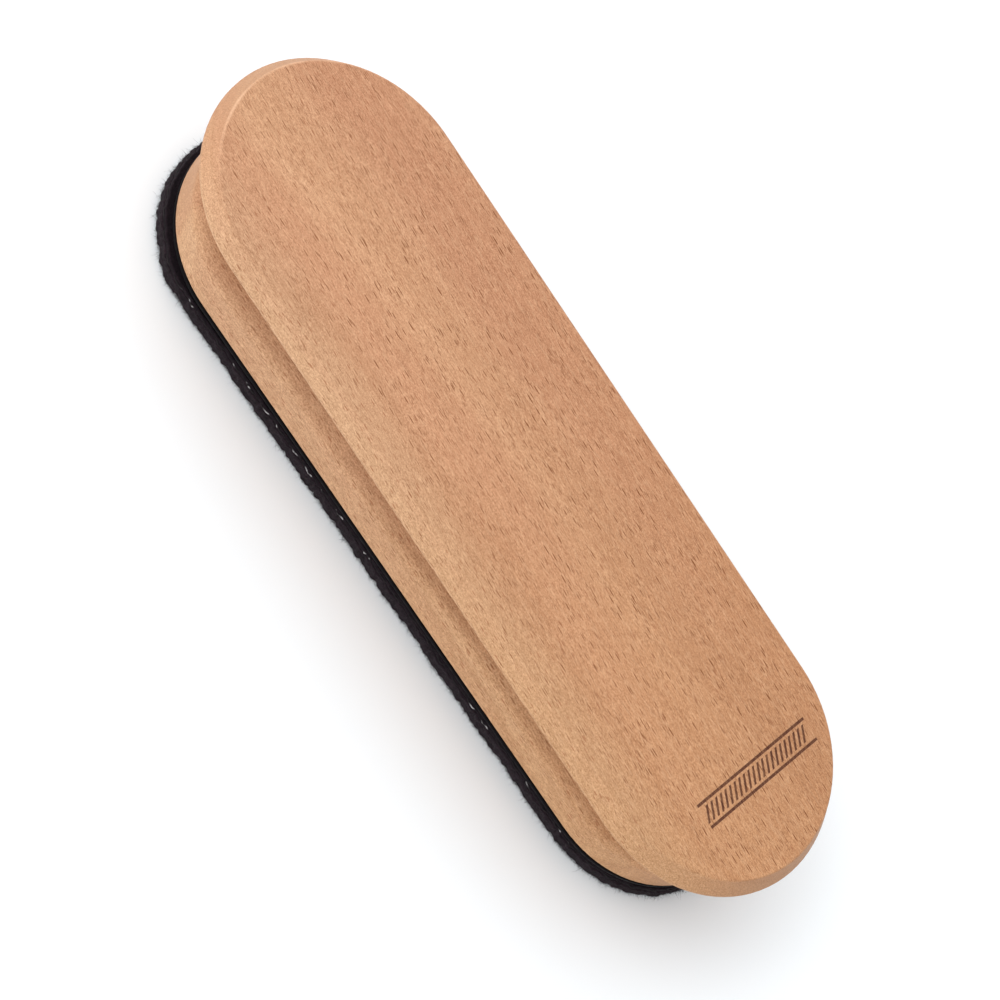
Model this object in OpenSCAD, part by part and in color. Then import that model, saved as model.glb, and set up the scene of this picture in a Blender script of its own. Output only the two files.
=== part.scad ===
// Wooden board eraser: a bevelled beech grip plate over a grooved beech block,
// with a black felt wiping pad held underneath by hook and loop.
// Frame: +X along the length, +Z up, origin at the middle of the wiping face. Millimetres.

/* [Grip plate] */
// Length of the plate over its round ends
plate_length = 155; // [140:0.5:190]
// Width of the plate, which is also the diameter of its round ends
plate_width = 50; // [46:0.5:60]
// Thickness of the plate
plate_thickness = 6; // [5.5:0.1:9]
// How far the bevel at the top edge runs inwards
bevel_width = 1.8; // [0.8:0.1:3]
// How far the bevel at the top edge runs down
bevel_height = 3.1; // [1:0.1:3.2]
// Height of the upright rim under the bevel
rim_height = 0.5; // [0.3:0.1:0.8]
// How far the lower edge is cut back under the rim
undercut_width = 2.6; // [1:0.1:3]
// Radius of the sanded edges of the plate
plate_edge_radius = 0.4; // [0.2:0.05:0.6]

/* [Base block] */
// Length of the block over its round ends
base_length = 145.2; // [130:0.1:180]
// Width of the block
base_width = 43.3; // [40:0.1:50]
// Height of the block
base_height = 13.6; // [11:0.1:20]
// Height of the upright flange up to its lip
flange_height = 5.6; // [3:0.1:8]
// Half the width of the neck at the top of the finger groove
neck_half_width = 18; // [15:0.1:19]
// Radius of the finger groove
groove_radius = 9; // [6:0.1:12]
// Radius of the sanded lip between groove and flange
lip_radius = 2.5; // [0.5:0.1:3]
// Turn of the block under the plate, from hand assembly, in degrees
base_skew = 0.9; // [-1.5:0.05:1.5]
// Shift of the block along the plate, from hand assembly
base_shift = -0.3; // [-0.8:0.1:0.8]

/* [Dowels] */
// Diameter of the two dowels
dowel_diameter = 6; // [4:0.5:8]
// Length of each dowel
dowel_length = 10; // [8:0.5:11]
// Distance from the middle to each dowel
dowel_offset = 42; // [15:1:44]
// How far each dowel reaches into the plate
dowel_in_plate = 3.2; // [2:0.1:3.6]

/* [Hook sheet] */
// Thickness of the adhesive film
film_thickness = 0.2; // [0.1:0.05:0.4]
// Thickness of the web of the hook sheet
web_thickness = 0.8; // [0.5:0.1:1.2]
// Height of the hooks under the web
hook_height = 0.9; // [0.5:0.1:1.2]

/* [Wiping pad] */
// Clearance between the hooks and the loop backing
pad_gap = 0.2; // [0.1:0.05:0.3]
// Thickness of the loop backing
loop_thickness = 0.8; // [0.5:0.1:1.2]
// Thickness of the felt
felt_thickness = 2.5; // [2:0.1:8]
// Length of the felt over its round ends
pad_length = 147.1; // [132:0.1:182]
// Width of the felt
pad_width = 42.5; // [40:0.1:50]
// Radius of the worn lower edge of the felt
felt_edge_radius = 0.8; // [0.3:0.1:1.5]
// Turn of the pad under the plate, in degrees
pad_skew = 1.25; // [-2:0.05:2]
// Shift of the pad along the plate
pad_shift = -0.5; // [-0.8:0.1:0.8]

/* [Edge seam] */
// Diameter of the sewing thread
thread_diameter = 0.25; // [0.15:0.01:0.27]
// Length of each stitch that shows at the edge
stitch_length = 2.6; // [1.5:0.1:3]
// Distance from one stitch to the next
stitch_pitch = 4.1; // [3.5:0.1:6]

/* [Hidden] */
$fn = 96;

beech = "#d2a27c";
dowel_wood = "#e0bd97";
film_white = "#d9d6cc";
hook_black = "#1d1c20";
loop_black = "#28262b";
felt_black = "#151419";
thread_grey = "#8f8c8e";

dowel_play = 0.05;
bore_spare = 0.4;
dowel_chamfer = 0.5;
film_inset = 0.4;
hook_inset = 0.7;
loop_inset = 0.3;
base_edge_break = 0.3;
rim_edge_radius = 0.12;
stitch_play = 0.02;

// Levels, counted up from the wiping face
felt_top = felt_thickness;
loop_top = felt_top + loop_thickness;
hook_tips = loop_top + pad_gap;
web_bottom = hook_tips + hook_height;
web_top = web_bottom + web_thickness;
base_bottom = web_top + film_thickness;
base_top = base_bottom + base_height;
plate_top = base_top + plate_thickness;
flange_top = base_bottom + flange_height;
rim_bottom = plate_top - bevel_height - rim_height;
dowel_top = base_top + dowel_in_plate;
dowel_bottom = dowel_top - dowel_length;

// Centre of the arc that runs down the neck and out to the lip of the flange
groove_x = neck_half_width + groove_radius;
groove_z = flange_top + sqrt(
    pow(groove_radius + lip_radius, 2) - pow(groove_x - base_width / 2 + lip_radius, 2)
);

function unit(v) = v / norm(v);

// Angle between the edges that leave corner i of a closed outline
function corner_angle(pts, i) = let (
        n = len(pts),
        a = unit(pts[(i + n - 1) % n] - pts[i]),
        b = unit(pts[(i + 1) % n] - pts[i])
    ) acos(a * b);

// Points that replace corner i: the corner itself, or the two ends of its fillet
function corner_points(pts, i, r) = let (
        n = len(pts),
        a = unit(pts[(i + n - 1) % n] - pts[i]),
        b = unit(pts[(i + 1) % n] - pts[i]),
        back = r / tan(corner_angle(pts, i) / 2)
    ) r == 0 ? [pts[i]] : [pts[i] + a * back, pts[i] + b * back];

function fillet_centre(pts, i, r) = let (
        n = len(pts),
        a = unit(pts[(i + n - 1) % n] - pts[i]),
        b = unit(pts[(i + 1) % n] - pts[i])
    ) pts[i] + unit(a + b) * r / sin(corner_angle(pts, i) / 2);

// Outline whose outward corners are rounded to the given radii
module rounded_outline(pts, radii) {
    polygon([for (i = [0:len(pts) - 1]) each corner_points(pts, i, radii[i])]);
    for (i = [0:len(pts) - 1])
        if (radii[i] > 0)
            translate(fillet_centre(pts, i, radii[i])) circle(r = radii[i]);
}

// Sweeps half a cross-section, drawn in x >= 0, around a straight line of the given length
module round_ended(straight) {
    for (end = [0, 1])
        rotate([0, 0, 180 * end])
            translate([straight / 2, 0, 0])
                rotate([0, 0, -90]) rotate_extrude(angle = 180) children();
    rotate([90, 0, 90])
        linear_extrude(height = straight, center = true) {
            children();
            mirror([1, 0]) children();
        }
}

// Places a piece that was set under the plate by hand, a little off
module set_by_hand(shift, skew) {
    translate([shift, 0, 0]) rotate([0, 0, skew]) children();
}

// Flat slab with round ends
module slab(length, width, bottom, thickness) {
    round_ended(length - width)
        translate([0, bottom]) square([width / 2, thickness]);
}

module plate_section() {
    half = plate_width / 2;
    rounded_outline(
        [
            [0, base_top],
            [half - undercut_width, base_top],
            [half, rim_bottom],
            [half, plate_top - bevel_height],
            [half - bevel_width, plate_top],
            [0, plate_top]
        ],
        [0, 0, rim_edge_radius, rim_edge_radius, plate_edge_radius, 0]
    );
}

// Groove and flange meet at a sanded lip, an arc that touches both
module base_section() {
    half = base_width / 2;
    groove_centre = [groove_x, groove_z];
    lip_centre = [half - lip_radius, flange_top];
    lip_touch = groove_centre + unit(lip_centre - groove_centre) * groove_radius;
    difference() {
        polygon([
            [0, base_bottom],
            [half - base_edge_break, base_bottom],
            [half, base_bottom + base_edge_break],
            [half, flange_top],
            lip_touch,
            [lip_touch[0], base_top],
            [0, base_top]
        ]);
        translate(groove_centre) circle(r = groove_radius);
        translate([neck_half_width, groove_z]) square([half, base_height]);
    }
    translate(lip_centre) circle(r = lip_radius);
}

module dowel_places() {
    for (side = [-1, 1])
        translate([side * dowel_offset, 0, 0]) children();
}

module dowel_bores() {
    dowel_places()
        translate([0, 0, dowel_bottom - bore_spare])
            cylinder(d = dowel_diameter + 2 * dowel_play, h = dowel_length + bore_spare + dowel_play);
}

module grip_plate() {
    color(beech)
        difference() {
            round_ended(plate_length - plate_width) plate_section();
            dowel_bores();
        }
}

module base_block() {
    color(beech)
        difference() {
            set_by_hand(base_shift, base_skew)
                round_ended(base_length - base_width) base_section();
            dowel_bores();
        }
}

module dowel_pins() {
    r = dowel_diameter / 2;
    color(dowel_wood)
        dowel_places()
            rotate_extrude()
                polygon([
                    [0, dowel_bottom],
                    [r - dowel_chamfer, dowel_bottom],
                    [r, dowel_bottom + dowel_chamfer],
                    [r, dowel_top - dowel_chamfer],
                    [r - dowel_chamfer, dowel_top],
                    [0, dowel_top]
                ]);
}

module adhesive_film() {
    color(film_white)
        set_by_hand(base_shift, base_skew)
            slab(base_length - 2 * film_inset, base_width - 2 * film_inset, web_top, film_thickness);
}

module hook_sheet() {
    color(hook_black)
        set_by_hand(base_shift, base_skew) {
            slab(base_length, base_width, web_bottom, web_thickness);
            slab(base_length - 2 * hook_inset, base_width - 2 * hook_inset, hook_tips, hook_height);
        }
}

module loop_backing() {
    color(loop_black)
        set_by_hand(pad_shift, pad_skew)
            slab(pad_length - 2 * loop_inset, pad_width - 2 * loop_inset, felt_top, loop_thickness);
}

module felt_pad() {
    half = pad_width / 2;
    color(felt_black)
        set_by_hand(pad_shift, pad_skew)
            round_ended(pad_length - pad_width)
                rounded_outline(
                    [[0, 0], [half, 0], [half, felt_top], [0, felt_top]],
                    [0, felt_edge_radius, 0, 0]
                );
}

// Stitches lie on the felt's ledge, against the edge of the loop backing
module stitch() {
    rotate([0, 90, 0]) cylinder(d = thread_diameter, h = stitch_length, center = true);
}

module edge_stitches() {
    straight = pad_length - pad_width;
    radius = pad_width / 2 - loop_inset + thread_diameter / 2 + stitch_play;
    height = felt_top + thread_diameter / 2 + stitch_play;
    per_side = floor(straight / stitch_pitch);
    per_end = floor(PI * radius / stitch_pitch);
    color(thread_grey)
        set_by_hand(pad_shift, pad_skew)
            for (half_turn = [0, 180])
                rotate([0, 0, half_turn]) {
                    for (i = [0:per_side - 1])
                        translate([(i - (per_side - 1) / 2) * stitch_pitch, -radius, height]) stitch();
                    for (i = [0:per_end - 1])
                        translate([straight / 2, 0, height])
                            rotate([0, 0, (i + 0.5) * 180 / per_end])
                                translate([0, -radius, 0]) stitch();
                }
}

grip_plate();
base_block();
dowel_pins();
adhesive_film();
hook_sheet();
loop_backing();
felt_pad();
edge_stitches();
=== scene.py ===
"""Looks of a wooden board eraser: oiled beech, and a black felt pad held by hook and loop.

Lengths are in metres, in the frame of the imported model: +X along the eraser, +Z up, the wiping
face at zero. Materials work in millimetres.
"""

import math
import random
from typing import NamedTuple

import bmesh
import bpy
import numpy as np
from mathutils import Matrix, Vector, noise


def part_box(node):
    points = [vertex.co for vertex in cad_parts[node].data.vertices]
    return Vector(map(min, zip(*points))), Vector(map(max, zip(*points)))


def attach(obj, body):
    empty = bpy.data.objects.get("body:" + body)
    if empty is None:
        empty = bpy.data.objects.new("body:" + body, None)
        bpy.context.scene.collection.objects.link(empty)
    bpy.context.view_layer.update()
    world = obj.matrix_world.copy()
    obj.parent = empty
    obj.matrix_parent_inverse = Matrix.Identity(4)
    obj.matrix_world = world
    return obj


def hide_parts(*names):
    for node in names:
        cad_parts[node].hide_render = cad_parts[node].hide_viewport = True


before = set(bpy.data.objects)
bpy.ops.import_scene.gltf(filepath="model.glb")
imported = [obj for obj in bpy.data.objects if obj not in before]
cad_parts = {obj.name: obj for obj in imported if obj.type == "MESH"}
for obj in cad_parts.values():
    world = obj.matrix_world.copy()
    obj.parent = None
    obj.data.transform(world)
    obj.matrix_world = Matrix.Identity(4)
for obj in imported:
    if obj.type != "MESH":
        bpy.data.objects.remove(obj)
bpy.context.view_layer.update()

MM = 0.001
SEED = 7

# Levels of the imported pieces
PLATE_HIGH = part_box("grip_plate")[1]
FELT_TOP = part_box("felt_pad")[1].z
LOOP_LOW, LOOP_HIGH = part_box("loop_backing")
HOOK_LOW, HOOK_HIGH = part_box("hook_sheet")
BLOCK_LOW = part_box("base_block")[0]

# Round-ended outlines. The block and the pad sit slightly turned and shifted under the plate
BLOCK_SKEW = 0.9
BLOCK_SHIFT = -0.3 * MM
BLOCK_RADIUS = 21.65 * MM
BLOCK_STRAIGHT = 101.9 * MM
PAD_SKEW = 1.25
PAD_SHIFT = -0.5 * MM
PAD_RADIUS = 21.25 * MM
PAD_STRAIGHT = 104.6 * MM
PLATE_RADIUS = 25 * MM
PLATE_STRAIGHT = 105 * MM
PLATE_BEVEL = 1.8 * MM
DOWEL_OFFSET = 42 * MM
HOOK_WEB = 0.8 * MM


# ---------------------------------------------------------------- stage


def aim_camera():
    """A long lens from above, rolled so that the eraser lies from upper left to lower right."""
    azimuth, elevation, roll = (math.radians(a) for a in (-3.35, 53.21, 58.84))
    aim = Vector((1.12 * MM, -9.23 * MM, PLATE_HIGH.z))
    distance = 0.5324
    back = Vector(
        (
            math.sin(azimuth) * math.cos(elevation),
            -math.cos(azimuth) * math.cos(elevation),
            math.sin(elevation),
        )
    )
    level = Vector((math.cos(azimuth), math.sin(azimuth), 0))
    right = level * math.cos(roll) + back.cross(level) * math.sin(roll)
    up = back.cross(right)
    data = bpy.data.cameras.new("camera")
    data.sensor_width = 36
    data.lens = 121.1
    camera = bpy.data.objects.new("camera", data)
    bpy.context.scene.collection.objects.link(camera)
    turn = Matrix((right, up, back)).transposed().to_4x4()
    camera.matrix_world = Matrix.Translation(aim + back * distance) @ turn
    bpy.context.scene.camera = camera


def soft_light(name, place, target, size, power):
    """A square white softbox at place, facing target."""
    data = bpy.data.lights.new(name, "AREA")
    data.size = size
    data.energy = power
    lamp = bpy.data.objects.new(name, data)
    bpy.context.scene.collection.objects.link(lamp)
    lamp.location = place
    lamp.rotation_euler = (Vector(place) - Vector(target)).to_track_quat("Z", "Y").to_euler()


def light_studio():
    """A white light tent, brightest low on the left, and a weak softbox there."""
    middle_strength = 1.68
    fall_to_right, fall_to_roof = 0.72, 0.76
    scene = bpy.context.scene
    scene.view_settings.view_transform = "Standard"
    world = bpy.data.worlds.new("light_tent")
    scene.world = world
    world.use_nodes = True
    tree = world.node_tree
    sky = tree.nodes["Background"]
    sky.inputs["Color"].default_value = (1, 1, 1, 1)
    # The strength falls towards the roof, the ground and the right
    coords = tree.nodes.new("ShaderNodeTexCoord")
    split = tree.nodes.new("ShaderNodeSeparateXYZ")
    steep = tree.nodes.new("ShaderNodeMath")
    steep.operation = "ABSOLUTE"
    gather = tree.nodes.new("ShaderNodeCombineXYZ")
    fall = tree.nodes.new("ShaderNodeVectorMath")
    fall.operation = "DOT_PRODUCT"
    fall.inputs[1].default_value = (-fall_to_right, 0, -fall_to_roof)
    level = tree.nodes.new("ShaderNodeMath")
    level.operation = "ADD"
    level.inputs[1].default_value = middle_strength
    tree.links.new(coords.outputs["Generated"], split.inputs[0])
    tree.links.new(split.outputs[2], steep.inputs[0])
    tree.links.new(split.outputs[0], gather.inputs[0])
    tree.links.new(steep.outputs[0], gather.inputs[2])
    tree.links.new(gather.outputs[0], fall.inputs[0])
    tree.links.new(fall.outputs["Value"], level.inputs[0])
    tree.links.new(level.outputs[0], sky.inputs["Strength"])
    soft_light("softbox", (-0.62, -0.38, 0.82), (0, 0, 0), 0.6, 1.6)


def lay_floor():
    """A plain pale floor. Its faint blue evens out the warm light that the wood throws on it."""
    size = 3
    mesh = bpy.data.meshes.new("floor")
    corners = [(x * size, y * size, 0) for x, y in ((-1, -1), (1, -1), (1, 1), (-1, 1))]
    mesh.from_pydata(corners, [], [(0, 1, 2, 3)])
    floor = bpy.data.objects.new("floor", mesh)
    bpy.context.scene.collection.objects.link(floor)
    g = Graph("floor_white")
    g.finish(color=(0.918, 0.953, 0.978, 1), roughness=0.9, specular=0.0)
    mesh.materials.append(g.material)


# ---------------------------------------------------------------- shader building


class Graph:
    """Builds a material's nodes. Inputs are numbers, tuples or other nodes' sockets."""

    def __init__(self, name):
        self.material = bpy.data.materials.new(name)
        self.material.use_nodes = True
        self.tree = self.material.node_tree
        self.tree.nodes.clear()
        self.out = self.tree.nodes.new("ShaderNodeOutputMaterial")
        self.bsdf = self.tree.nodes.new("ShaderNodeBsdfPrincipled")
        self.tree.links.new(self.bsdf.outputs[0], self.out.inputs[0])

    def plug(self, socket, value):
        """Links another node's socket, or sets a constant."""
        if isinstance(value, bpy.types.NodeSocket):
            self.tree.links.new(value, socket)
        else:
            socket.default_value = value

    def node(self, kind, inputs, output=0, **settings):
        made = self.tree.nodes.new("ShaderNode" + kind)
        for key, value in settings.items():
            setattr(made, key, value)
        for key, value in inputs.items():
            self.plug(made.inputs[key], value)
        return made.outputs[output]

    def math(self, operation, *values, clamp=False):
        return self.node("Math", dict(enumerate(values)), operation=operation, use_clamp=clamp)

    def vector_math(self, operation, *values):
        return self.node("VectorMath", dict(enumerate(values)), operation=operation)

    def add(self, a, b):
        return self.math("ADD", a, b)

    def mul(self, a, b):
        return self.math("MULTIPLY", a, b)

    def place(self):
        """The point on the piece, in millimetres."""
        coords = self.node("TexCoord", {}, output="Object")
        return self.vector_math("MULTIPLY", coords, (1000, 1000, 1000))

    def split(self, vector):
        made = self.tree.nodes.new("ShaderNodeSeparateXYZ")
        self.plug(made.inputs[0], vector)
        return made.outputs

    def turned(self, vector, degrees):
        """The vector turned about +Z."""
        inputs = {"Vector": vector, "Angle": math.radians(degrees)}
        return self.node("VectorRotate", inputs, rotation_type="Z_AXIS")

    def noise(self, vector, size, detail=2, roughness=0.5, distortion=0):
        """Noise from 0 to 1, whose features measure size, in millimetres along each axis."""
        scaled = self.vector_math("DIVIDE", vector, size)
        inputs = {
            "Vector": scaled,
            "Scale": 1,
            "Detail": detail,
            "Roughness": roughness,
            "Distortion": distortion,
        }
        return self.node("TexNoise", inputs)

    def noise_along(self, value, scale, detail):
        """Noise from 0 to 1 along one measure."""
        inputs = {"W": value, "Scale": scale, "Detail": detail, "Roughness": 0.5}
        return self.node("TexNoise", inputs, noise_dimensions="1D")

    def ramp(self, value, low, high, to_low=0.0, to_high=1.0):
        """Smooth step from to_low at low to to_high at high."""
        inputs = {0: value, 1: low, 2: high, 3: to_low, 4: to_high}
        return self.node("MapRange", inputs, interpolation_type="SMOOTHSTEP")

    def mix(self, share, a, b, blend="MIX"):
        made = self.tree.nodes.new("ShaderNodeMix")
        made.data_type = "RGBA"
        made.blend_type = blend
        self.plug(made.inputs[0], share)
        self.plug(made.inputs[6], a)
        self.plug(made.inputs[7], b)
        return made.outputs[2]

    def bump(self, height, distance, strength):
        """A normal from a height. The distance is in metres."""
        return self.node("Bump", {"Height": height, "Distance": distance, "Strength": strength})

    def finish(self, color, roughness, specular, normal=None, **constants):
        """Plugs the surface. Constants name further inputs, with _ for each space."""
        self.plug(self.bsdf.inputs["Base Color"], color)
        self.plug(self.bsdf.inputs["Roughness"], roughness)
        self.bsdf.inputs["Specular IOR Level"].default_value = specular
        if normal is not None:
            self.plug(self.bsdf.inputs["Normal"], normal)
        for name, value in constants.items():
            self.bsdf.inputs[name.replace("_", " ")].default_value = value
        return self.material


# ---------------------------------------------------------------- beech

PALE_BEECH = (0.55, 0.295, 0.161, 1)
PINK_BEECH = (0.505, 0.25, 0.135, 1)
# Darker, more golden beech for the painted shade towards the right end of the board
RIGHT_SHADE_BEECH = (0.465, 0.23, 0.104, 1)
# Paler beech for sanded edges and for the painted highlight on the bevel
PALE_EDGE_BEECH = (0.72, 0.45, 0.29, 1)
FAINT_FLECK = (0.32, 0.12, 0.05, 1)
DARK_FLECK = (0.2, 0.062, 0.015, 1)
FLECK_RIM = (0.86, 0.56, 0.34, 1)
END_GRAIN = (0.415, 0.225, 0.122, 1)
CHAR = (0.07, 0.018, 0.009, 1)


class PaleEdgeLine(NamedTuple):
    """A rounded, round-ended edge painted paler: sanding wear on the block's foot, and a painted
    highlight along the plate's bevel. Lengths are in millimetres, skew in degrees.
    """

    skew: float
    straight: float
    radius: float
    level: float
    width: float
    strength: float
    left_only: bool


def tinted(color, tint):
    """A colour times a tint."""
    return tuple(c * t for c, t in zip(color[:3], tint)) + (1,)


def flecks(g, grain, cell, reach, share, edge):
    """Spindle-shaped ray flecks, and the pale rims round them. A cell holds one at most. Reach is
    half a fleck in cells, share the cells with one, edge where its soft rim starts."""
    cells = g.tree.nodes.new("ShaderNodeTexVoronoi")
    g.plug(cells.inputs["Vector"], g.vector_math("DIVIDE", grain, cell))
    cells.inputs["Scale"].default_value = 1
    red, green, _ = g.split(cells.outputs["Color"])
    chosen = g.ramp(red, 1 - share - 0.05, 1 - share + 0.05)
    held = g.mul(chosen, g.add(g.mul(green, 0.5), 0.5))
    size = g.mul(reach, g.add(0.55, g.mul(green, 0.45)))
    off = g.math("DIVIDE", cells.outputs["Distance"], size)
    rim = g.mul(g.ramp(off, 0.9, 1.15), g.ramp(off, 2.0, 1.3))
    return g.mul(g.ramp(off, 1.0, edge), held), g.mul(rim, held)


def burned_border(g, x, y):
    """A plain border burned across the plate: slanted hatching between two rules."""
    middle, centre, half_width, half_length = 61.0, 3.4, 2.0, 14.0
    pitch, lean, strokes_each_side = 1.2, 0.6, 11
    from_middle = g.math("ABSOLUTE", g.math("SUBTRACT", x, middle))
    along = g.math("ABSOLUTE", g.math("SUBTRACT", y, centre))
    from_rule = g.math("ABSOLUTE", g.math("SUBTRACT", from_middle, half_width))
    rule = g.ramp(from_rule, 0.29, 0.19)
    rule = g.mul(rule, g.ramp(along, half_length + 0.08, half_length - 0.08))
    slant = g.math("DIVIDE", g.add(y, g.mul(x, lean)), pitch)
    beat = g.math("ABSOLUTE", g.math("SUBTRACT", g.math("PINGPONG", slant, 1.0), 0.5))
    first = round((centre + lean * middle) / pitch)
    reach = g.math("ABSOLUTE", g.math("SUBTRACT", slant, first))
    last = g.ramp(reach, strokes_each_side + 0.05, strokes_each_side - 0.05)
    hatch = g.mul(g.ramp(beat, 0.27, 0.15), last)
    hatch = g.mul(hatch, g.ramp(from_middle, 1.35, 1.25))
    return g.math("MAXIMUM", rule, hatch)


def stadium_radius(g, point, straight):
    """Distance from the line between the centres of the round ends, in millimetres."""
    x, y, _ = g.split(point)
    beyond = g.math("MAXIMUM", g.math("SUBTRACT", g.math("ABSOLUTE", x), straight / 2), 0.0)
    return g.math("SQRT", g.add(g.mul(beyond, beyond), g.mul(y, y)))


def ring_distance(g, point, heart, sway):
    """Distance from the heart of the tree, which the board slowly climbs away from."""
    x, y, z = g.split(point)
    from_heart_y = g.add(g.math("SUBTRACT", y, heart[0]), g.mul(x, -0.09))
    from_heart_z = g.math("SUBTRACT", z, heart[1])
    squares = g.add(g.mul(from_heart_y, from_heart_y), g.mul(from_heart_z, from_heart_z))
    return g.add(g.math("SQRT", squares), g.mul(sway, 5))


def board_color(g, point, ring, cloud, tint):
    """Soft bands of uneven width, and the slow changes over the board that the photo shows. The
    darkening towards the right end and over the far half is painted shade.
    """
    x, y, _ = g.split(point)
    band = g.ramp(g.noise_along(ring, 0.14, 2), 0.36, 0.64)
    color = g.mix(band, tinted(PINK_BEECH, tint), tinted(PALE_BEECH, tint))
    # Painted shade: the board turns darker and more golden towards the right end, away from the
    # light
    right_end_shade = g.ramp(g.add(x, g.mul(cloud, 40)), -40, 110, 0, 0.85)
    color = g.mix(right_end_shade, color, tinted(RIGHT_SHADE_BEECH, tint))
    # The near edge is a little greyer. The far half is darker and browner: painted shade, as less
    # light reaches it
    color = g.mix(g.ramp(y, -12, -24), color, (0.96, 1.03, 1.05, 1), "MULTIPLY")
    return g.mix(g.ramp(y, -12, 12), color, (0.92, 0.885, 0.87, 1), "MULTIPLY")


def fine_grain(g, grain, ring, cloud, curl, fibre):
    """A factor for the colour, that darkens red least and blue most."""
    value = g.mul(curl, 0.66)
    for part, weight in (
        (fibre, 1.1),
        (g.noise(grain, (6, 1.6, 1.6), detail=2), 0.12),
        (cloud, 0.06),
        (g.noise_along(ring, 1.3, 1), 0.06),
    ):
        value = g.add(value, g.mul(part, weight))
    green, blue = g.math("POWER", value, 1.25), g.math("POWER", value, 1.5)
    return g.node("CombineColor", {0: value, 1: green, 2: blue})


def end_grain(g, point, facing, color):
    """Cross-cut wood at the round ends is duller, and speckled with open pores."""
    across = g.ramp(g.math("ABSOLUTE", facing), 0.5, 0.9)
    pores = g.noise(point, (0.5, 0.26, 0.26), detail=2, roughness=0.7)
    pore = tinted(END_GRAIN, (0.68, 0.68, 0.68))
    cut_across = g.mix(g.ramp(pores, 0.3, 0.65), pore, END_GRAIN)
    return g.mix(g.mul(across, 0.45), color, cut_across)


def paled_edge(g, point, edge, color):
    """Edges painted a little paler, in places: sanding wear, and a painted highlight where
    left_only keeps the line to the left end.
    """
    x, _, z = g.split(point)
    radius = stadium_radius(g, g.turned(point, -edge.skew), edge.straight)
    sideways = g.math("SUBTRACT", radius, edge.radius)
    above = g.math("POWER", g.math("SUBTRACT", z, edge.level), 2.0)
    off = g.math("SQRT", g.add(g.mul(sideways, sideways), above))
    patchy = g.ramp(g.noise(point, (5, 5, 5)), 0.35, 0.65, 0.4, 1.0)
    paleness = g.mul(g.ramp(off, edge.width, edge.width * 0.3), patchy)
    if edge.left_only:
        # On the plate's bevel the pale line is a painted highlight, kept to the left end, which
        # faces the light
        paleness = g.mul(paleness, g.ramp(x, -66, -72, 0.05, 1.0))
    return g.mix(g.mul(paleness, edge.strength), color, PALE_EDGE_BEECH)


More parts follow.
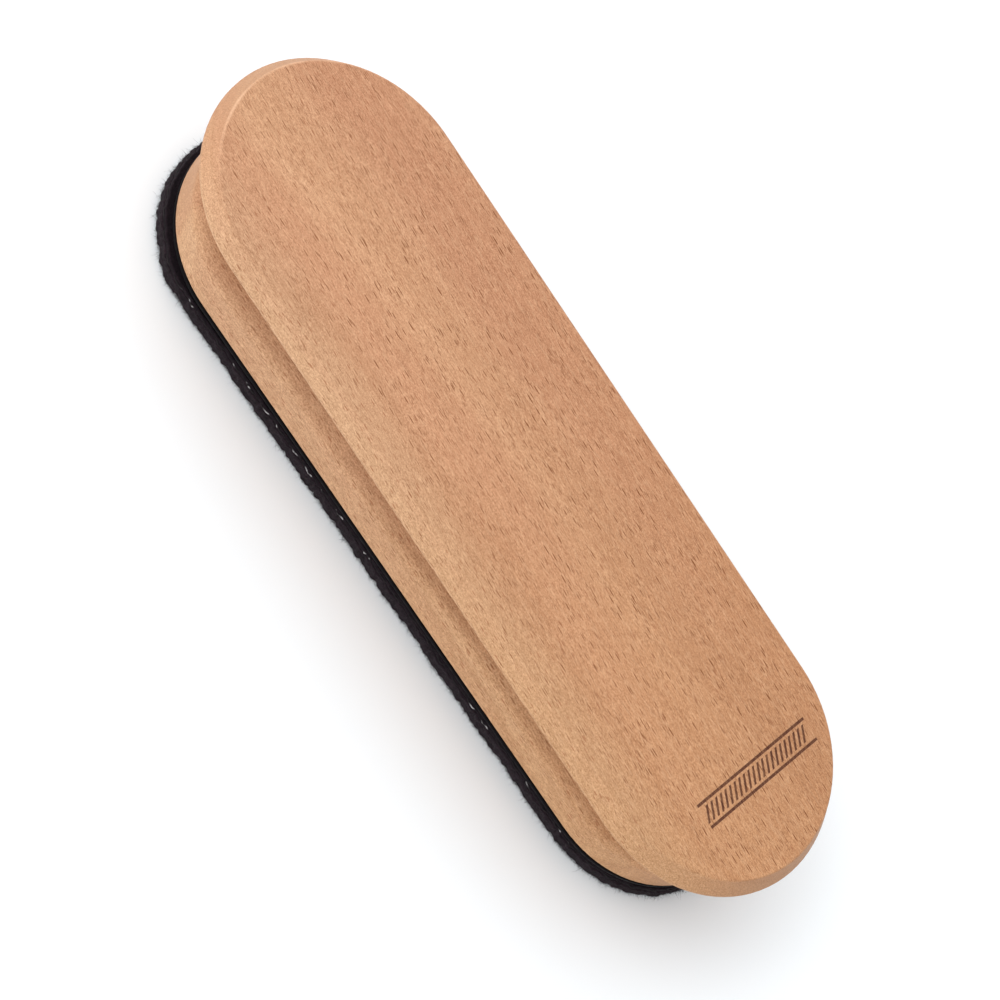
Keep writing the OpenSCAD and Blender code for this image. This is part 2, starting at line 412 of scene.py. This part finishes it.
def beech(name, skew, heart, tint, edge_lines, coarse=1, border=False, groove=False):
    """Oiled beech. The grain runs at skew degrees to +X, round a heart at that y and z; coarse
    widen it. Border is the burned mark on the plate; groove adds painted shade high in the
    block's groove, under the plate's rim."""
    g = Graph(name)
    point = g.place()
    x, y, z = g.split(point)
    sway = g.noise(point, (75, 24, 24), detail=1)
    swayed = g.node("CombineXYZ", {0: 0.0, 1: sway, 2: sway})
    sideways = g.vector_math("MULTIPLY", swayed, (0, 2.6, 1.4))
    grain = g.vector_math("ADD", g.turned(point, skew), sideways)
    grain = g.vector_math("DIVIDE", grain, (1, coarse, coarse))
    ring = ring_distance(g, point, heart, sway)
    cloud = g.noise(point, (50, 20, 20), detail=1)
    curl = g.noise(grain, (2.1, 0.25, 0.25), detail=2, roughness=0.6, distortion=0.3)
    fibre = g.noise(grain, (0.3, 0.14, 0.14), detail=1)
    color = board_color(g, point, ring, cloud, tint)
    color = g.mix(1.0, color, fine_grain(g, grain, ring, cloud, curl, fibre), "MULTIPLY")

    # A thin, soft brown line closes some of the rings
    closing = g.noise_along(ring, 0.42, 1)
    line = g.mul(g.ramp(closing, 0.5, 0.57), g.ramp(closing, 0.67, 0.59))
    color = g.mix(g.mul(line, 0.42), color, (0.86, 0.8, 0.75, 1), "MULTIPLY")

    # Ray flecks: dark ones, and shorter, fainter ones. They thin out towards the cross-cut ends,
    # and the dark ones come in crowds, fewer at the near edge and on the left
    facing = g.split(g.node("TexCoord", {}, output="Normal"))[0]
    dark, dark_rim = flecks(g, grain, (3.1, 0.36, 0.36), 0.36, 0.82, edge=0.6)
    faint, faint_rim = flecks(g, grain, (2.5, 0.4, 0.4), 0.36, 0.9, edge=0.4)
    rims = g.mul(g.add(dark_rim, g.mul(faint_rim, 0.5)), 0.16)
    color = g.mix(rims, color, FLECK_RIM)
    fade = g.ramp(g.math("ABSOLUTE", facing), 0.12, 0.42, 1.0, 0.12)
    crowd = g.ramp(g.noise(point, (24, 7, 7), detail=1), 0.3, 0.6, 0.7, 1.0)
    fewer = g.mul(g.ramp(y, -23, -12, 0.6, 1.0), g.ramp(x, -75, -25, 0.75, 1.0))
    dark = g.mul(g.mul(dark, fade), g.mul(crowd, fewer))
    faint = g.mul(faint, fade)
    color = g.mix(g.mul(faint, 0.8), color, FAINT_FLECK)
    color = g.mix(dark, color, DARK_FLECK)

    color = end_grain(g, point, facing, color)
    # The light tent is brighter on the left than the photo's light, so faces that look left are
    # toned down
    color = g.mix(g.ramp(facing, -0.2, -0.65), color, (0.925, 0.925, 0.905, 1), "MULTIPLY")
    for edge in edge_lines:
        color = paled_edge(g, point, edge, color)
    if groove:
        # Painted shade high in the finger groove, under the plate's rim, stronger towards the left
        # end
        groove_shade = g.mul(g.ramp(z, 10.8, 15.5, 0, 0.6), g.ramp(x, -35, -58, 1.0, 1.5))
        color = g.mix(groove_shade, color, (0.6, 0.47, 0.36, 1), "MULTIPLY")

    dents = g.add(g.mul(dark, -1.0), g.mul(faint, -0.5))
    height = g.add(dents, g.add(g.mul(fibre, 0.6), g.mul(curl, 0.7)))
    rough = g.add(g.add(0.52, g.mul(fibre, 0.12)), g.mul(dark, 0.15))
    if border:
        top = PLATE_HIGH.z / MM
        mark = g.mul(burned_border(g, x, y), g.ramp(z, top - 0.3, top - 0.1))
        char = g.mul(mark, g.ramp(curl, 0.3, 0.6, 0.7, 0.95))
        color = g.mix(char, color, CHAR)
        height = g.add(height, g.mul(mark, -2.5))
        rough = g.add(rough, g.mul(mark, 0.25))
    normal = g.bump(height, 0.06 * MM, 0.6)
    return g.finish(color, rough, specular=0.25, normal=normal)


def turned_dowel(name):
    """Raw beech dowel: lengthwise grain up its axis and fluted glue grooves as fine relief."""
    g = Graph(name)
    point = g.place()
    grain = g.noise(point, (0.3, 0.3, 4), detail=3)
    color = g.mix(grain, (0.52, 0.34, 0.2, 1), (0.68, 0.48, 0.31, 1))
    x, y, _ = g.split(point)
    from_axis = g.math("SUBTRACT", g.math("ABSOLUTE", x), DOWEL_OFFSET / MM)
    flutes = g.math("SINE", g.mul(g.math("ARCTAN2", y, from_axis), 24))
    height = g.add(g.mul(flutes, 0.5), grain)
    return g.finish(color, 0.75, specular=0.25, normal=g.bump(height, 0.1 * MM, 0.6))


def milky_film(name):
    """Adhesive film: faintly yellow, blotchy where it has wetted the wood."""
    g = Graph(name)
    blots = g.noise(g.place(), (3, 3, 3), detail=3)
    color = g.mix(blots, (0.5, 0.46, 0.38, 1), (0.66, 0.63, 0.55, 1))
    rough = g.ramp(blots, 0.2, 0.8, 0.25, 0.5)
    return g.finish(color, rough, specular=0.5, normal=g.bump(blots, 0.08 * MM, 0.5))


# ---------------------------------------------------------------- textiles


def black_felt(name):
    """Wool felt: matted fibres that run every way, in clumps, with a soft sheen."""
    g = Graph(name)
    point = g.place()
    matted = g.noise(point, (0.3, 0.3, 0.24), detail=3, roughness=0.75, distortion=1.2)
    clumps = g.noise(point, (2.6, 2.6, 1.2), detail=2)
    strand = g.noise(point, (0.9, 0.9, 0.12), detail=3, distortion=2.5)
    shade = g.add(g.mul(matted, 0.6), g.mul(strand, 0.4))
    pit, tip = (0.003, 0.0017, 0.0023, 1), (0.044, 0.028, 0.037, 1)
    color = g.mix(g.ramp(shade, 0.3, 0.7), pit, tip)
    color = g.mix(g.ramp(clumps, 0.45, 0.75, 0, 0.35), color, (0.004, 0.003, 0.004, 1))
    normal = g.bump(g.add(matted, g.mul(strand, 0.7)), 0.3 * MM, 0.8)
    rough = g.ramp(matted, 0.2, 0.8, 0.82, 1.0)
    sheen = {"Sheen_Weight": 0.05, "Sheen_Roughness": 0.5}
    return g.finish(color, rough, specular=0.06, normal=normal, **sheen)


def felt_hair(name):
    """Loose wool fibres, some catching the light."""
    g = Graph(name)
    tone = g.noise(g.place(), (0.7, 0.7, 0.7), detail=2)
    dark, lit = (0.006, 0.004, 0.005, 1), (0.085, 0.07, 0.078, 1)
    color = g.mix(g.ramp(tone, 0.35, 0.75), dark, lit)
    return g.finish(color, 0.7, specular=0.15, Sheen_Weight=0.05)


def brushed_loops(name):
    """Brushed knit: a low nap without any pattern."""
    g = Graph(name)
    point = g.place()
    pile = g.noise(point, (0.4, 0.4, 0.4), detail=4, roughness=0.65, distortion=1.5)
    pit, tip = (0.004, 0.0024, 0.0034, 1), (0.022, 0.013, 0.018, 1)
    color = g.mix(g.ramp(pile, 0.3, 0.75), pit, tip)
    normal = g.bump(pile, 0.25 * MM, 0.8)
    sheen = {"Sheen_Weight": 0.05, "Sheen_Roughness": 0.4}
    return g.finish(color, 0.85, specular=0.08, normal=normal, **sheen)


def black_nylon(name, ribbed):
    """Moulded nylon; the web of the hook sheet also has fine extrusion ribs."""
    g = Graph(name)
    point = g.place()
    haze = g.noise(point, (1.2, 1.2, 1.2), detail=3)
    color = g.mix(haze, (0.0012, 0.0007, 0.001, 1), (0.0045, 0.003, 0.004, 1))
    rough = g.ramp(haze, 0.25, 0.75, 0.38, 0.6)
    height = haze
    if ribbed:
        rib_pitch = 0.6
        ribs = g.math("SINE", g.mul(g.split(point)[1], 2 * math.pi / rib_pitch))
        height = g.add(haze, g.mul(ribs, 0.5))
    return g.finish(color, rough, specular=0.06, normal=g.bump(height, 0.05 * MM, 0.6))


def clear_thread(name):
    """Twisted nylon thread, dark in colour. Here and there it has painted glints, patches of pale
    colour, more often in the left half, as in the photo, and not at the round ends."""
    g = Graph(name)
    point = g.place()
    x, _, z = g.split(point)
    more_left = g.ramp(g.math("ABSOLUTE", g.add(x, 34)), 30, 18, 0, 0.12)
    picked = g.ramp(g.add(g.noise(point, (5, 5, 5), detail=1), more_left), 0.54, 0.6)
    picked = g.mul(picked, g.ramp(g.math("ABSOLUTE", x), 56, 52))
    # Painted glints: pale base colour in the picked patches
    painted_glint = g.mul(picked, g.ramp(g.noise(point, (0.9, 0.9, 0.9), detail=2), 0.4, 0.55))
    color = g.mix(painted_glint, (0.018, 0.014, 0.016, 1), (0.62, 0.6, 0.6, 1))
    rough = g.ramp(painted_glint, 0, 1, 0.6, 0.25)
    twist_pitch = 0.25
    twist = g.math("SINE", g.mul(g.add(x, g.mul(z, 2.0)), 2 * math.pi / twist_pitch))
    return g.finish(color, rough, specular=0.3, normal=g.bump(twist, 0.03 * MM, 0.7))


# ---------------------------------------------------------------- mesh building


def add_object(name, points, faces, material):
    """A smooth-shaded mesh object."""
    mesh = bpy.data.meshes.new(name)
    mesh.from_pydata([tuple(p) for p in points], [], [tuple(f) for f in faces])
    mesh.update()
    mesh.shade_smooth()
    mesh.materials.append(material)
    made = bpy.data.objects.new(name, mesh)
    bpy.context.scene.collection.objects.link(made)
    return made


def tube_faces(tubes, rings, sides, start_cap=False, end_cap=False):
    """Faces of equal tubes, whose points come tube by tube and ring by ring."""
    faces = []
    for tube in range(tubes):
        base = tube * rings * sides
        for k in range(rings - 1):
            low, high = base + k * sides, base + (k + 1) * sides
            for a in range(sides):
                b = (a + 1) % sides
                faces.append((low + a, low + b, high + b, high + a))
        if start_cap:
            faces.append(tuple(base + a for a in reversed(range(sides))))
        if end_cap:
            faces.append(tuple(base + (rings - 1) * sides + a for a in range(sides)))
    return faces


def stadium_walk(straight, radius, step):
    """Points round a round-ended outline at one step, each with its outward direction."""
    half = straight / 2
    around = 2 * straight + 2 * math.pi * radius
    count = int(around / step)
    centres, outward = [], []
    for i in range(count):
        s = i / count * around
        if s < straight:
            centres.append((-half + s, 0))
            outward.append((0, -1))
        elif s < straight + math.pi * radius:
            a = (s - straight) / radius
            centres.append((half, 0))
            outward.append((math.sin(a), -math.cos(a)))
        elif s < 2 * straight + math.pi * radius:
            centres.append((half - (s - straight - math.pi * radius), 0))
            outward.append((0, 1))
        else:
            a = (s - 2 * straight - math.pi * radius) / radius
            centres.append((-half, 0))
            outward.append((-math.sin(a), math.cos(a)))
    return np.array(centres), np.array(outward)


def uneven(x, y, frequency, layer):
    """Noise from -1 to 1 over the plan; each layer is its own pattern."""
    return noise.noise(Vector((x * frequency, y * frequency, layer)))


def hand_cut(x, y):
    """How far the felt was cut outside (or inside) the true outline at a point of it."""
    wave = uneven(x, y, 90, 1.3) * 0.22
    ripple = uneven(x, y, 420, 5.1) * 0.16
    nick = -abs(uneven(x, y, 800, 9.4)) * 0.35
    tuft = uneven(x, y, 1900, 3.7) * 0.15
    # A corner sticks out near the left end, as in the photo
    corner_x, corner_spread, near_corner, far_corner = -58.5, 2.6, 0.45, 0.1
    corner = math.exp(-(((x / MM - corner_x) / corner_spread) ** 2))
    corner *= near_corner if y < 0 else far_corner
    outside = 0.06
    return (wave + ripple + nick + tuft + corner + outside) * MM


PAD_PLACE = (math.radians(PAD_SKEW), PAD_SHIFT)
BLOCK_PLACE = (math.radians(BLOCK_SKEW), BLOCK_SHIFT)


def turned(points, angle):
    """Points turned about +Z."""
    c, s = math.cos(angle), math.sin(angle)
    out = np.array(points, float)
    out[:, 0], out[:, 1] = points[:, 0] * c - points[:, 1] * s, points[:, 0] * s + points[:, 1] * c
    return out


def placed(points, place):
    """Points of the pad or the block, set where that piece sits under the plate."""
    angle, shift = place
    return turned(points, angle) + (shift, 0, 0)


def pad_outline(step):
    """Centres, outward directions and radii of the pad's cut outline, before its turn."""
    centres, outward = stadium_walk(PAD_STRAIGHT, PAD_RADIUS, step)
    edge = centres + outward * PAD_RADIUS
    cut = np.array([hand_cut(x, y) for x, y in edge])
    return centres, outward, PAD_RADIUS + cut


def weld(made, distance):
    """Closes a shell where its points meet, and turns its faces outwards."""
    bm = bmesh.new()
    bm.from_mesh(made.data)
    bmesh.ops.remove_doubles(bm, verts=bm.verts, dist=distance)
    bmesh.ops.recalc_face_normals(bm, faces=bm.faces)
    bm.to_mesh(made.data)
    bm.free()
    made.data.shade_smooth()


def lofted(name, rings, material, place):
    """A closed shell through rings of equal point counts. The first and last close on a line."""
    points = placed(np.vstack(rings), place)
    made = add_object(name, points, tube_faces(1, len(rings), len(rings[0])), material)
    weld(made, 0.01 * MM)
    return made


# Insets of the rings that close a face, in millimetres
INSETS = (0.4, 0.9, 1.6, 2.4, 3.4, 4.6, 6.0, 7.6, 9.4, 11.4, 13.6, 16.0, 18.6)


def cap_rings(centres, outward, radii, level, relief, inwards):
    """Rings that close a flat face from its edge to its middle line, or the other way."""
    rings = []
    for inset in (*INSETS, None):
        r = np.zeros(len(radii)) if inset is None else radii - inset * MM
        flat = centres + outward * r[:, None]
        lift = np.array([relief(x, y) for x, y in flat])
        rings.append(np.column_stack([flat, level + lift]))
    return rings if inwards else rings[::-1]


def felt_relief(x, y):
    """Small pits of a matted surface, always upwards from the wiping face."""
    return (0.06 + 0.04 * uneven(x, y, 500, 2.0) + 0.02 * uneven(x, y, 1700, 7.0)) * MM


def no_relief(_x, _y):
    return 0.0


def wall_roughness(x, y, z):
    """How far the cut wall of the felt stands out at a point, in millimetres."""
    coarse = noise.noise(Vector((x * 900, y * 900, z * 1100))) * 0.3
    fine = noise.noise(Vector((x * 2000, y * 2000, z * 2600))) * 0.16
    return coarse + fine


def make_felt(material):
    """The felt: a ragged wall, a rounded lower edge, and a pitted wiping face."""
    centres, outward, radii = pad_outline(0.25 * MM)
    levels = 14
    corner = 0.75 * MM
    most_bulge = 0.10
    wall = []
    for k in range(levels + 1):
        z = FELT_TOP * k / levels
        under = max(0.0, 1 - z / corner)
        bulge = most_bulge * math.sin(math.pi * min(1.0, z / FELT_TOP)) * MM
        tuck = corner * (1 - math.sqrt(max(0.0, 1 - under * under)))
        r = radii + bulge - tuck
        spots = centres + outward * r[:, None]
        rough = np.array([wall_roughness(x, y, z) for x, y in spots])
        spots = centres + outward * (r + rough * MM)[:, None]
        wall.append(np.column_stack([spots, np.full(len(spots), z)]))
    under_cap = cap_rings(centres, outward, radii - corner, 0.0, felt_relief, inwards=False)
    top_cap = cap_rings(centres, outward, radii, FELT_TOP, no_relief, inwards=True)
    made = lofted("felt_body", under_cap + wall + top_cap, material, PAD_PLACE)
    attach(made, "pad")
    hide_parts("felt_pad")


def strands(name, roots, directions, lengths, thickness, curl, rng, material):
    """Tapering fibres in one mesh. Each starts at a root and bends away from its direction."""
    joints, sides, taper = 4, 3, 0.75
    n = len(roots)
    bend = rng.normal(size=(n, 3))
    bend -= (bend * directions).sum(1)[:, None] * directions
    bend /= np.linalg.norm(bend, axis=1)[:, None]
    side = np.cross(directions, bend)
    points = []
    for share in np.linspace(0, 1, joints):
        along = directions * (lengths * share)[:, None]
        away = bend * (lengths * curl * share**2)[:, None]
        axis = roots + along + away
        girth = thickness * (1 - taper * share)
        for a in range(sides):
            angle = 2 * math.pi * a / sides
            points.append(axis + (bend * math.cos(angle) + side * math.sin(angle)) * girth)
    points = np.stack(points, axis=1).reshape(-1, 3)
    # No fibre dips below the floor
    points[:, 2] = np.maximum(points[:, 2], 0.01 * MM)
    faces = tube_faces(n, joints, sides, start_cap=True, end_cap=True)
    return add_object(name, points, faces, material)


def unit_rows(vectors):
    """Each row at length one."""
    return vectors / np.linalg.norm(vectors, axis=1)[:, None]


def make_edge_hair(rng, material):
    """Fuzz on the cut edge of the felt, thickest near the wiping face."""
    count = 12000
    centres, outward, radii = pad_outline(0.12 * MM)
    picks = rng.integers(0, len(centres), count)
    height = rng.uniform(0.0, 1.0, count) ** 1.3 * FELT_TOP
    rounded = 0.6 * MM
    tuck = np.where(height < rounded, (rounded - height) * 0.5, 0)
    sunk = 0.03 * MM
    flat = centres[picks] + outward[picks] * (radii[picks] - tuck - sunk)[:, None]
    roots = np.column_stack([flat, height])
    out = np.column_stack([outward[picks], np.zeros(count)])
    along = np.column_stack([-outward[picks][:, 1], outward[picks][:, 0], np.zeros(count)])
    ways = out * rng.uniform(0.25, 1.0, (count, 1)) + along * rng.normal(0, 0.8, (count, 1))
    ways[:, 2] += rng.normal(-0.05, 0.35, count)
    ways = unit_rows(ways)
    longest = 1.9
    lengths = np.minimum(rng.gamma(3.0, 0.19, count), longest) * MM
    # Fibres that point down start high enough to clear the floor
    drop = np.minimum(0, ways[:, 2]) * lengths
    roots[:, 2] = np.maximum(roots[:, 2], -drop + 0.05 * MM)
    roots, ways = placed(roots, PAD_PLACE), turned(ways, math.radians(PAD_SKEW))
    made = strands("felt_edge_hair", roots, ways, lengths, 0.021 * MM, 0.35, rng, material)
    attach(made, "pad")


def make_face_hair(rng, material):
    """Fibres that lie on the wiping face."""
    count = 9000
    spots = inside_pad(count, 0.8 * MM, rng)
    heading = rng.uniform(0, 2 * math.pi, count)
    roots = placed(np.column_stack([spots, np.full(count, 0.05 * MM)]), PAD_PLACE)
    slope = rng.normal(0, 0.02, count)
    ways = unit_rows(np.column_stack([np.cos(heading), np.sin(heading), slope]))
    lengths = rng.uniform(0.8, 2.6, count) * MM
    made = strands("felt_face_hair", roots, ways, lengths, 0.014 * MM, 0.3, rng, material)
    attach(made, "pad")


def make_felt_hair(material):
    rng = np.random.default_rng(SEED)
    make_edge_hair(rng, material)
    make_face_hair(rng, material)


def inside_pad(count, margin, rng):
    """Points spread evenly inside the pad's outline, before its turn."""
    reach = PAD_RADIUS - margin
    points = []
    while len(points) < count:
        x = rng.uniform(-1, 1) * (PAD_STRAIGHT / 2 + reach)
        y = rng.uniform(-1, 1) * reach
        if max(0.0, abs(x) - PAD_STRAIGHT / 2) ** 2 + y * y < reach * reach:
            points.append((x, y))
    return np.array(points)


def make_loop_arcs(material):
    """Fine loops that stand on the backing, for the hooks to catch."""
    rng = np.random.default_rng(SEED + 1)
    count, joints, sides = 5200, 6, 3
    sunk = 0.12 * MM
    spots = inside_pad(count, 0.9 * MM, rng)
    heading = rng.uniform(0, math.pi, count)
    along = np.column_stack([np.cos(heading), np.sin(heading), np.zeros(count)])
    across = np.column_stack([-np.sin(heading), np.cos(heading), np.zeros(count)])
    lean = across * rng.normal(0, 0.5, (count, 1)) + (0, 0, 1)
    width = rng.uniform(0.18, 0.4, count)[:, None] * MM
    height = rng.uniform(0.1, 0.3, count)[:, None] * MM
    girth = 0.022 * MM
    roots = np.column_stack([spots, np.full(count, LOOP_HIGH.z - sunk)])
    points = []
    for k in range(joints):
        a = math.pi * k / (joints - 1)
        axis = roots - along * width * math.cos(a) + lean * height * math.sin(a)
        radial = -along * math.cos(a) + lean * math.sin(a)
        for s in range(sides):
            b = 2 * math.pi * s / sides
            points.append(axis + (radial * math.cos(b) + across * math.sin(b)) * girth)
    points = placed(np.stack(points, axis=1).reshape(-1, 3), PAD_PLACE)
    made = add_object("loop_arcs", points, tube_faces(count, joints, sides), material)
    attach(made, "pad")


def make_loops(material):
    """The loop backing: a low pile over a knit, cut along with the felt."""
    centres, outward, radii = pad_outline(0.5 * MM)
    inset = 0.3 * MM
    levels = 4
    rounded_from, rounded_by = 0.6, 0.18 * MM
    wall = []
    for k in range(levels + 1):
        z = LOOP_LOW.z + (LOOP_HIGH.z - LOOP_LOW.z) * k / levels
        rounding = rounded_by * (max(0.0, k / levels - rounded_from) / (1 - rounded_from)) ** 2
        spots = centres + outward * (radii - inset - rounding)[:, None]
        wall.append(np.column_stack([spots, np.full(len(spots), z)]))

    def pile(x, y):
        return -(0.06 + 0.05 * uneven(x, y, 1500, 3.0)) * MM

    cut = radii - inset
    under = cap_rings(centres, outward, cut, LOOP_LOW.z, no_relief, inwards=False)
    over = cap_rings(centres, outward, cut, LOOP_HIGH.z, pile, inwards=True)
    made = lofted("loop_pile", under + wall + over, material, PAD_PLACE)
    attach(made, "pad")
    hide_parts("loop_backing")


def make_hook_web(material):
    """The moulded web of the hook sheet, with eased edges."""
    centres, outward = stadium_walk(BLOCK_STRAIGHT, BLOCK_RADIUS, 0.6 * MM)
    radii = np.full(len(centres), BLOCK_RADIUS)
    low, high = HOOK_HIGH.z - HOOK_WEB, HOOK_HIGH.z
    eased, low_inset, high_inset = 0.1 * MM, 0.12, 0.06
    profile = ((low, low_inset), (low + eased, 0.02), (high - eased, 0.0), (high, high_inset))
    wall = []
    for z, inset in profile:
        spots = centres + outward * (radii - inset * MM)[:, None]
        wall.append(np.column_stack([spots, np.full(len(spots), z)]))
    under_radii, over_radii = radii - low_inset * MM, radii - high_inset * MM
    under = cap_rings(centres, outward, under_radii, low, no_relief, inwards=False)
    over = cap_rings(centres, outward, over_radii, high, no_relief, inwards=True)
    web = lofted("hook_web", under + wall + over, material, BLOCK_PLACE)
    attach(web, "handle")
    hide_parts("hook_sheet")


def make_hooks(material):
    """Hooks in rows under the web. Neighbouring rows bend opposite ways."""
    low = HOOK_HIGH.z - HOOK_WEB
    pitch_x, pitch_y, clear = 1.5 * MM, 1.3 * MM, 0.75 * MM
    roots, ways = [], []
    rows = int((BLOCK_RADIUS - clear) / pitch_y)
    for row in range(-rows, rows + 1):
        y = row * pitch_y
        round_end = math.sqrt(max(0.0, (BLOCK_RADIUS - clear) ** 2 - y * y))
        columns = int((BLOCK_STRAIGHT / 2 + round_end) / pitch_x)
        for column in range(-columns, columns + 1):
            roots.append((column * pitch_x, y, low))
            ways.append(1 if row % 2 else -1)
    roots = placed(np.array(roots), BLOCK_PLACE)
    hooks = bent_hooks("hooks", roots, ways, low - HOOK_LOW.z, material)
    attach(hooks, "handle")


def bent_hooks(name, roots, ways, height, material):
    """J-shaped hooks that hang from their roots. Ways is +1 or -1, how each bends along X."""
    sides = 4
    stem, bend, barb = 0.13 * MM, 0.2 * MM, 0.12 * MM
    root_girth, girth_lost = 1.25, 0.55
    rise = height - bend - stem
    path = [(0, 0), (0, -rise)]
    for degrees in (45, 90, 135, 180):
        a = math.radians(degrees)
        path.append((bend * (1 - math.cos(a)), -rise - bend * math.sin(a)))
    path.append((2 * bend, -rise + barb))
    path = np.array(path)
    tangents = unit_rows(np.gradient(path, axis=0))
    ring_points = []
    for k, (p, tangent) in enumerate(zip(path, tangents)):
        girth = stem * (root_girth - girth_lost * k / (len(path) - 1))
        normal = np.array((-tangent[1], tangent[0]))
        for s in range(sides):
            angle = 2 * math.pi * (s + 0.5) / sides
            across = normal * math.cos(angle) * girth
            ring_points.append((p[0] + across[0], math.sin(angle) * girth, p[1] + across[1]))
    one = np.array(ring_points)
    points = np.vstack([root + one * (way, 1, 1) for root, way in zip(roots, ways)])
    faces = tube_faces(len(roots), len(path), sides, end_cap=True)
    return add_object(name, points, faces, material)


def make_stitches(material):
    """The seam round the pad: bowed lengths of thread that dive in at both ends."""
    pitch, length, girth = 4.1 * MM, 2.6 * MM, 0.095 * MM
    inset, depth, clear = 0.16 * MM, 0.3 * MM, 0.03 * MM
    step = 0.1 * MM
    centres, outward, radii = pad_outline(step)
    count = int(len(centres) * step / pitch)
    rng = random.Random(SEED)
    joints, sides = 9, 6
    points = []
    for i in range(count):
        start = i / count * len(centres) + rng.uniform(-2.5, 2.5)
        stretch = rng.uniform(0.8, 1.1)
        z = FELT_TOP + girth + clear + rng.uniform(-0.05, 0.12) * MM
        for k in range(joints):
            share = k / (joints - 1)
            walked = (share - 0.5) * length * stretch / step
            at = int(round(start + walked)) % len(centres)
            dive = (2 * share - 1) ** 4 * depth
            spot = centres[at] + outward[at] * (radii[at] - inset - dive)
            for s in range(sides):
                angle = 2 * math.pi * s / sides
                wide = outward[at] * math.cos(angle) * girth
                points.append((*(spot + wide), z + math.sin(angle) * girth))
    points = placed(np.array(points), PAD_PLACE)
    faces = tube_faces(count, joints, sides, start_cap=True, end_cap=True)
    made = add_object("stitches", points, faces, material)
    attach(made, "pad")
    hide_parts("edge_stitches")


def paint(node, material):
    """Gives a CAD node its material."""
    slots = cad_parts[node].data.materials
    slots.clear()
    slots.append(material)


# ---------------------------------------------------------------- build

aim_camera()
light_studio()
lay_floor()

# A painted highlight along the bevel's inner edge at the left end
bevel_highlight = PaleEdgeLine(
    skew=0,
    straight=PLATE_STRAIGHT / MM,
    radius=(PLATE_RADIUS - PLATE_BEVEL) / MM,
    level=PLATE_HIGH.z / MM,
    width=0.42,
    strength=0.45,
    left_only=True,
)
foot_edge = PaleEdgeLine(
    skew=BLOCK_SKEW,
    straight=BLOCK_STRAIGHT / MM,
    radius=BLOCK_RADIUS / MM,
    level=BLOCK_LOW.z / MM,
    width=0.45,
    strength=0.7,
    left_only=False,
)
plate_wood = beech("beech_plate", 3.2, (-45, -150), (1, 1, 1), (bevel_highlight,), border=True)
block_wood = beech(
    "beech_block", 2.2, (-140, 60), (0.99, 1, 1), (foot_edge,), coarse=1.35, groove=True
)
paint("grip_plate", plate_wood)
paint("base_block", block_wood)
paint("dowel_pins", turned_dowel("dowel_beech"))
paint("adhesive_film", milky_film("adhesive"))

make_felt(black_felt("felt_wool"))
make_felt_hair(felt_hair("felt_fibre"))
loop_knit = brushed_loops("loop_knit")
make_loops(loop_knit)
make_loop_arcs(loop_knit)
make_hook_web(black_nylon("web_nylon", ribbed=True))
make_hooks(black_nylon("hook_nylon", ribbed=False))
make_stitches(clear_thread("seam_thread"))
